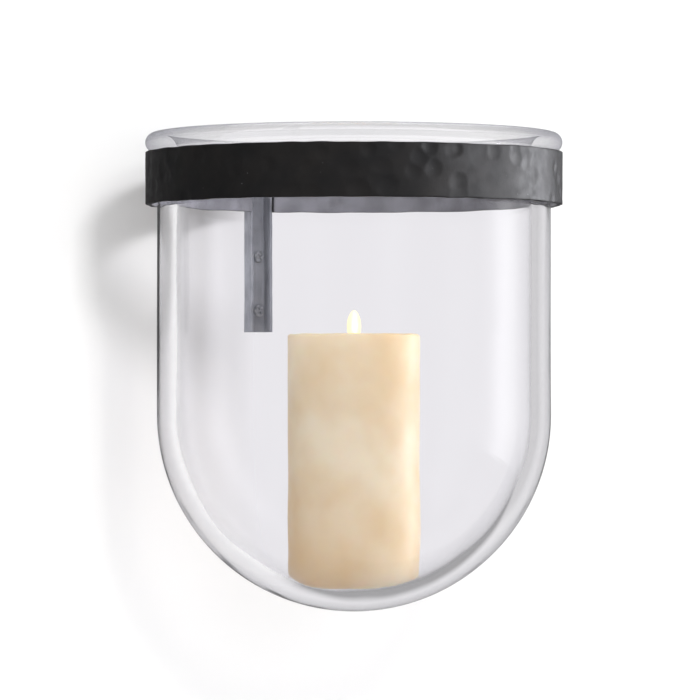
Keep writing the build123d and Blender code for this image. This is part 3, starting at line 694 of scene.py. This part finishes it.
def make_welds():
    """Two upright welds with the ripples of a hand-run bead."""
    corner_y = AXIS_Y + math.sqrt(BAND_R**2 - CHANNEL_HALF**2)
    low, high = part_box("weld_beads")
    for side, name in ((-1, "left_weld"), (1, "right_weld")):
        rings = []
        for z in np.linspace(low.z, high.z, 90):
            ripple = abs(math.sin((z - low.z) / (2.2 * MM) * math.pi))
            ends = min(1.0, (z - low.z) / (2 * MM) + 0.35, (high.z - z) / (2 * MM) + 0.35)
            leg = (2.3 + 0.45 * ripple + 0.3 * smooth_noise((side, 0, z), 6 * MM)) * MM * ends
            rings.append([(x, y, z) for x, y in weld_section(side, leg, corner_y)])
        weld = skin(name, rings)
        stand_for(weld, "holder", "black_iron", IRON, "weld_beads")


# ================================================================ candle
CANDLE_TURNS = 224
SLOT_HALF = 8.5 * MM
SLOT_END_R = 3.5 * MM
DISH = 5 * MM
DISH_R = CANDLE_R - 5 * MM
EDGE_R = 2.4 * MM
BORE_R = 37.55 * MM
CEILING = CANDLE_TOP - 19.5 * MM
FOOT_R = 1.2 * MM


def slot_reach(turn):
    """Distance from the axis to the edge of the flame's slot in a direction."""
    across, along = abs(math.sin(turn)), abs(math.cos(turn))
    straight_half = SLOT_HALF - SLOT_END_R
    if SLOT_END_R * along <= straight_half * across:
        return SLOT_END_R / across
    return straight_half * along + math.sqrt(SLOT_END_R**2 - (straight_half * across) ** 2)


def make_wax_pillar():
    """Hollow wax pillar: soft edges, a dished top and a slot for the flame."""
    turns = np.linspace(0, 2 * math.pi, CANDLE_TURNS, endpoint=False)
    slot = np.array([slot_reach(t) for t in turns])
    side = joined(
        [(BORE_R, CANDLE_BOTTOM), (CANDLE_R - FOOT_R, CANDLE_BOTTOM)],
        arc((CANDLE_R - FOOT_R, CANDLE_BOTTOM + FOOT_R), FOOT_R, -90, 0, 6),
        straight((CANDLE_R, CANDLE_BOTTOM + FOOT_R), (CANDLE_R, CANDLE_TOP - EDGE_R), 60),
        arc((CANDLE_R - EDGE_R, CANDLE_TOP - EDGE_R), EDGE_R, 0, 90, 9),
        straight((CANDLE_R - EDGE_R, CANDLE_TOP), (DISH_R, CANDLE_TOP), 3),
    )
    radii = [np.full(CANDLE_TURNS, r) for r, _ in side]
    heights = [np.full(CANDLE_TURNS, z) for _, z in side]
    for share in np.linspace(1, 0, 22)[1:]:
        r = slot + (DISH_R - slot) * share
        radii.append(r)
        heights.append(CANDLE_TOP - DISH * (1 - (r / DISH_R) ** 2))
    shoulder = heights[-1]
    for share in np.linspace(0, 1, 6)[1:]:
        radii.append(slot)
        heights.append(shoulder + (CEILING - shoulder) * share)
    for share in (0.5, 1.0):
        radii.append(slot + (BORE_R - slot) * share)
        heights.append(np.full(CANDLE_TURNS, CEILING))
    for share in np.linspace(0, 1, 12)[1:-1]:
        radii.append(np.full(CANDLE_TURNS, BORE_R))
        heights.append(np.full(CANDLE_TURNS, CEILING + (CANDLE_BOTTOM - CEILING) * share))
    rings = []
    for ring_radii, ring_heights in zip(radii, heights):
        ring = []
        for turn, r, z in zip(turns, ring_radii, ring_heights):
            place = (r * math.cos(turn), r * math.sin(turn), z)
            outer = 1.0 if r > BORE_R + 0.5 * MM else 0.0
            near_top = max(0.0, 1 - (CANDLE_TOP - z) / (12 * MM))
            r += outer * (smooth_noise(place, 30 * MM, 7.0) - 0.6) * 0.18 * MM
            z += outer * near_top * (smooth_noise(place, 20 * MM, 2.0) - 0.5) * 0.5 * MM
            ring.append((r * math.cos(turn), AXIS_Y + r * math.sin(turn), z))
        rings.append(ring)
    pillar = skin("wax_pillar", rings, closed=True)
    return stand_for(pillar, "candle", "ivory_wax", WAX, "wax_shell")


# ================================================================ flame
FLAME_STEPS = 64
FLAME_SECTION = 24
FLAME_HALF_WIDTH = 5.3 * MM
STEM_HALF_WIDTH = 2.6 * MM
STEM_HALF_THICK = 0.6 * MM
FLAME_HALF_THICK = 1.2 * MM
FLAME_WIDEST_Z = FLAME_TIP - 10.5 * MM
FLAME_NECK_Z = FLAME_TIP - 22.5 * MM


def flame_half_width(z):
    """Half the blade's width: a straight stem, a swelling and a rounded tip."""
    if z > FLAME_WIDEST_Z:
        rise = (z - FLAME_WIDEST_Z) / (FLAME_TIP - FLAME_WIDEST_Z)
        return FLAME_HALF_WIDTH * max(0.0, 1 - rise**2) ** 0.62
    fall = min(1.0, (FLAME_WIDEST_Z - z) / (FLAME_WIDEST_Z - FLAME_NECK_Z))
    return STEM_HALF_WIDTH + (FLAME_HALF_WIDTH - STEM_HALF_WIDTH) * (1 - fall**2) ** 1.5


def make_flame():
    """Flame-shaped blade, plump in the middle, on its flat stem."""
    stem = np.linspace(paddle_low.z, FLAME_NECK_Z, 12)[:-1]
    blade = FLAME_NECK_Z + (FLAME_TIP - FLAME_NECK_Z) * np.sin(np.linspace(0, math.pi / 2, FLAME_STEPS))
    rings = []
    for z in [*stem, *blade[:-1]]:
        half = flame_half_width(z)
        plump = max(0.0, (half - STEM_HALF_WIDTH) / (FLAME_HALF_WIDTH - STEM_HALF_WIDTH))
        thick = STEM_HALF_THICK + (FLAME_HALF_THICK - STEM_HALF_THICK) * plump
        thick = min(thick, half)
        turns = np.linspace(0, 2 * math.pi, FLAME_SECTION, endpoint=False)
        rings.append([(half * math.cos(t), AXIS_Y + thick * math.sin(t), z) for t in turns])
    poles = ((0, AXIS_Y, paddle_low.z), (0, AXIS_Y, FLAME_TIP))
    flame = skin("flame_blade", rings, poles=poles)
    return stand_for(flame, "flame", "flame_film", flame_glow(), "flame_paddle")


# ================================================================ finishes of CAD nodes
def paint(material, *nodes):
    """Gives CAD nodes a new material; their meshes stay as they are."""
    for name in nodes:
        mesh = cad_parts[name].data
        mesh.materials.clear()
        mesh.materials.append(material)


def paint_cad_nodes():
    white = moulded_plastic("white_plastic", (0.78, 0.78, 0.75))
    black = moulded_plastic("black_plastic", (0.035, 0.035, 0.037), 0.5, 0.04 * MM)
    nickel = plated_metal("nickel_plate", (0.70, 0.67, 0.61))
    paint(worn_screw(), "wall_screws")
    paint(dark_screw(), "base_screws")
    paint(white, "core_housing", "battery_holder", "coil_bobbin", "lamp_sleeve")
    paint(black, "base_cap", "battery_door", "switch_body")
    paint(moulded_plastic("grey_plastic", (0.30, 0.30, 0.31)), "switch_slider")
    paint(moulded_plastic("amber_plastic", (0.80, 0.62, 0.34)), "flame_guide")
    paint(moulded_plastic("component_black", (0.03, 0.03, 0.032), 0.4), "board_components")
    paint(moulded_plastic("lead_red", (0.50, 0.03, 0.02), 0.4), "lead_wires")
    paint(nickel, "door_contact", "terminal_plates", "contact_springs", "pivot_wire", "flame_magnet")
    paint(cell_jacket(), "battery_cells")
    paint(circuit_resist(), "circuit_board")
    paint(copper_winding(), "coil_winding")
    paint(lamp_resin(), "led_lamp")
    paint(foot_rubber(), "rubber_feet")


# ================================================================ stage, lights and camera
WALL_HALF = 4.0
WALL_TOP = 2.5
WALL_GAP = 0.3 * MM             # keeps the wall clear of the channel's back
FLOOR_DROP = 1.35
ROOM_DEPTH = 5.0
COVE = 0.4


def wall_paint():
    """Matte white wall, clear from behind, so that back views show the object.

    Seen through the glass it shows painted light, even in the middle, with painted shade to the right and
    below.
    Seen in a reflection it shows a painted dark reflection, as a wall beyond the studio's lamps would.
    """
    shader = Shader("wall_paint", 0.9)
    tone = shader.span(shader.noise(0.25, 3), 0.3, 0.7, 0, 1)
    shader.set("Base Color", shader.blend(tone, (0.88, 0.875, 0.87), (0.90, 0.897, 0.893)))
    shader.bump(shader.noise(1.5 * MM, 3), 0.02 * MM)
    place = shader.node("SeparateXYZ", {"Vector": shader.where})
    behind_glass = shader.span(place.outputs["X"], -50 * MM, 0, 0, 1)
    # Painted light and shade: the wall seen through the glass glows evenly, dimmer far to the right and
    # below.
    far_right = shader.span(place.outputs["X"], 340 * MM, 480 * MM, 1.0, 0.70)
    far_below = shader.span(place.outputs["Z"], -285 * MM, -345 * MM, 1.0, 0.38)
    even = shader.math("MINIMUM", far_right, far_below)
    even_light = shader.node("Emission", {"Color": (1.0, 0.99, 1.0, 1.0), "Strength": even})
    path = shader.node("LightPath")
    through = path.outputs["Is Transmission Ray"]
    reflected = shader.math("SUBTRACT", path.outputs["Is Glossy Ray"], through, clamp=True)
    below = shader.math("SUBTRACT", 1.0, far_below)
    on_wall = shader.span(place.outputs["Y"], -60 * MM, -20 * MM, 0, 1)
    share = shader.math("MULTIPLY", through, shader.math("MAXIMUM", behind_glass, below))
    share = shader.math("MULTIPLY", share, on_wall)
    evened = shader.mix_surfaces(share, shader.surface.outputs["BSDF"], even_light.outputs["Emission"])
    # Painted reflection: the wall seen in reflections glows a dark grey.
    dark = shader.node("Emission", {"Color": (0.10, 0.10, 0.105, 1.0), "Strength": 1.0})
    mostly = shader.math("MULTIPLY", reflected, 0.85)
    front = shader.mix_surfaces(mostly, evened, dark.outputs["Emission"])
    behind = shader.node("NewGeometry").outputs["Backfacing"]
    clear = shader.node("BsdfTransparent").outputs["BSDF"]
    shader.show(shader.mix_surfaces(behind, front, clear))
    return shader.material


def make_stage():
    """Wall just behind the object, curving into a floor far below it."""
    side = joined(
        straight((WALL_GAP, WALL_TOP), (WALL_GAP, -FLOOR_DROP + COVE), 4),
        arc((WALL_GAP - COVE, -FLOOR_DROP + COVE), COVE, 0, -90, 12),
        straight((WALL_GAP - COVE, -FLOOR_DROP), (-ROOM_DEPTH, -FLOOR_DROP), 4),
    )
    points = [(x, y, z) for y, z in side for x in (-WALL_HALF, WALL_HALF)]
    faces = [(2 * i, 2 * i + 2, 2 * i + 3, 2 * i + 1) for i in range(len(side) - 1)]
    mesh = bpy.data.meshes.new("backdrop")
    mesh.from_pydata(points, [], faces)
    mesh.polygons.foreach_set("use_smooth", [True] * len(faces))
    mesh.materials.append(wall_paint())
    backdrop = bpy.data.objects.new("backdrop", mesh)
    bpy.context.scene.collection.objects.link(backdrop)


def around(azimuth, elevation, distance, height=0.0):
    """A point round the object: azimuth 0 is straight out from the wall, 90 is to +x."""
    a, e = math.radians(azimuth), math.radians(elevation)
    out = Vector((math.sin(a) * math.cos(e), -math.cos(a) * math.cos(e), math.sin(e)))
    return AXIS + Vector((0, 0, height)) + out * distance


def soft_light(name, place, aim, width, height, watts, colour=(1, 1, 1)):
    """Rectangular soft box at place, facing aim."""
    lamp = bpy.data.lights.new(name, "AREA")
    lamp.shape = "RECTANGLE"
    lamp.size, lamp.size_y = width, height
    lamp.energy = watts
    lamp.color = colour
    light = bpy.data.objects.new(name, lamp)
    light.location = place
    light.rotation_euler = (Vector(aim) - place).to_track_quat("-Z", "Y").to_euler()
    bpy.context.scene.collection.objects.link(light)
    return light


class Room:
    """The light that reaches the object from the room, as soft patches round a white sky."""

    def __init__(self, low, high):
        world = bpy.data.worlds.new("studio")
        world.use_nodes = True
        self.tree = world.node_tree
        self.background = self.tree.nodes["Background"]
        self.background.inputs["Color"].default_value = (0.98, 0.99, 1.0, 1.0)
        self.direction = self.tree.nodes.new("ShaderNodeTexCoord").outputs["Generated"]
        split = self.tree.nodes.new("ShaderNodeSeparateXYZ")
        self.tree.links.new(self.direction, split.inputs[0])
        rise = self.tree.nodes.new("ShaderNodeMapRange")
        self.tree.links.new(split.outputs["Z"], rise.inputs["Value"])
        limits = {"From Min": -0.6, "From Max": 0.5, "To Min": low, "To Max": high}
        for socket, value in limits.items():
            rise.inputs[socket].default_value = value
        self.total = rise.outputs["Result"]
        bpy.context.scene.world = world

    def math(self, operation, first, second=0.0):
        made = self.tree.nodes.new("ShaderNodeMath")
        made.operation = operation
        for socket, value in zip(made.inputs, (first, second)):
            if isinstance(value, bpy.types.NodeSocket):
                self.tree.links.new(value, socket)
            else:
                socket.default_value = value
        return made.outputs["Value"]

    def along(self, vector):
        """How far the looked-up direction points along a vector."""
        made = self.tree.nodes.new("ShaderNodeVectorMath")
        made.operation = "DOT_PRODUCT"
        self.tree.links.new(self.direction, made.inputs[0])
        made.inputs[1].default_value = vector
        return made.outputs["Value"]

    def patch(self, azimuth, elevation, wide, tall, strength):
        """Adds a soft-edged patch of light; wide and tall are half sizes in degrees."""
        ahead = (around(azimuth, elevation, 1.0) - AXIS).normalized()
        right = Vector((-ahead.y, ahead.x, 0)).normalized()
        up = ahead.cross(right)
        across = self.math("DIVIDE", self.along(right), math.sin(math.radians(wide)))
        upward = self.math("DIVIDE", self.along(up), math.sin(math.radians(tall)))
        across_square = self.math("MULTIPLY", across, across)
        upward_square = self.math("MULTIPLY", upward, upward)
        square = self.math("ADD", across_square, upward_square)
        fall = self.math("EXPONENT", self.math("MULTIPLY", square, -1.0))
        front = self.math("GREATER_THAN", self.along(ahead), 0.0)
        lit = self.math("MULTIPLY", self.math("MULTIPLY", fall, front), strength)
        self.total = self.math("ADD", self.total, lit)

    def finish(self):
        self.tree.links.new(self.total, self.background.inputs["Strength"])


def lit_only(lamp, *names):
    """Keeps a lamp's light to the named pieces."""
    pieces = bpy.data.collections.new(lamp.name + "_pieces")
    for name in names:
        pieces.objects.link(bpy.data.objects[name])
    lamp.light_linking.receiver_collection = pieces


OBJECT_MIDDLE = AXIS + Vector((0, 0, -40 * MM))
BAND_LEVEL = AXIS + Vector((0, 0, BAND_BOTTOM))
COOL = (0.93, 0.94, 1.0)
WARM = (1.0, 0.96, 0.88)


def light_key():
    """The lamp that casts the shadow, which the candle doesn't block and the glass doesn't show."""
    key = soft_light("key", around(-9, 23, 2.4), OBJECT_MIDDLE, width=0.36, height=0.36, watts=27)
    key.visible_glossy = False
    key.visible_transmission = False
    shade = bpy.data.collections.new("shade")
    for name in ("hammered_band", "forged_channel", "blown_glass_bell"):
        shade.objects.link(bpy.data.objects[name])
    key.light_linking.blocker_collection = shade


def light_room():
    """The room's even light, with two soft patches that the glass shows."""
    room = Room(low=0.54, high=0.72)
    room.patch(azimuth=-6, elevation=18, wide=9, tall=14, strength=2.0)
    room.patch(azimuth=72, elevation=5, wide=11, tall=38, strength=3.6)
    room.finish()


def light_pieces():
    """Side lamps that light only the iron, the wax or the channel."""
    for azimuth, watts in ((36, 17), (84, 24)):
        place = around(azimuth, 5, 1.6)
        rake = soft_light(f"iron_rake_{azimuth}", place, BAND_LEVEL, 0.9, 0.8, watts, COOL)
        lit_only(rake, "hammered_band", "left_weld", "right_weld")
    wax_side = soft_light("wax_side", around(84, 5, 1.2), OBJECT_MIDDLE, 0.5, 0.8, 7, WARM)
    lit_only(wax_side, "wax_pillar")
    channel_side = soft_light("channel_side", around(-80, 5, 1.2), OBJECT_MIDDLE, 0.6, 0.8, 10)
    lit_only(channel_side, "forged_channel")


CAMERA_AZIMUTH = -29.5
CAMERA_DISTANCE = 2.885
EYE_HEIGHT = -66 * MM
FRAME_WIDTH = 469.7 * MM        # seen at the band's axis
FRAME_SHIFT = (-0.0057, 0.04)   # in frame widths
SENSOR = 36.0                   # millimetres, as Blender counts lenses


def make_camera():
    """Long lens to the left of the front, level with the upper part of the candle."""
    data = bpy.data.cameras.new("camera")
    data.sensor_width = SENSOR
    data.lens = SENSOR * CAMERA_DISTANCE / FRAME_WIDTH
    data.shift_x, data.shift_y = FRAME_SHIFT
    camera = bpy.data.objects.new("camera", data)
    camera.location = around(CAMERA_AZIMUTH, 0, CAMERA_DISTANCE, EYE_HEIGHT)
    camera.rotation_euler = (math.radians(90), 0, math.radians(CAMERA_AZIMUTH))
    bpy.context.scene.collection.objects.link(camera)
    bpy.context.scene.camera = camera


def render_settings():
    """Plain colour, and no caustics: light reaches things inside the glass straight through it."""
    scene = bpy.context.scene
    scene.view_settings.view_transform = "Standard"
    scene.cycles.caustics_reflective = False
    scene.cycles.caustics_refractive = False
    scene.cycles.transparent_max_bounces = 24


make_glass_bell()
make_band()
make_channel()
make_welds()
make_wax_pillar()
make_flame()
paint_cad_nodes()
make_stage()
light_key()
light_room()
light_pieces()
make_camera()
render_settings()
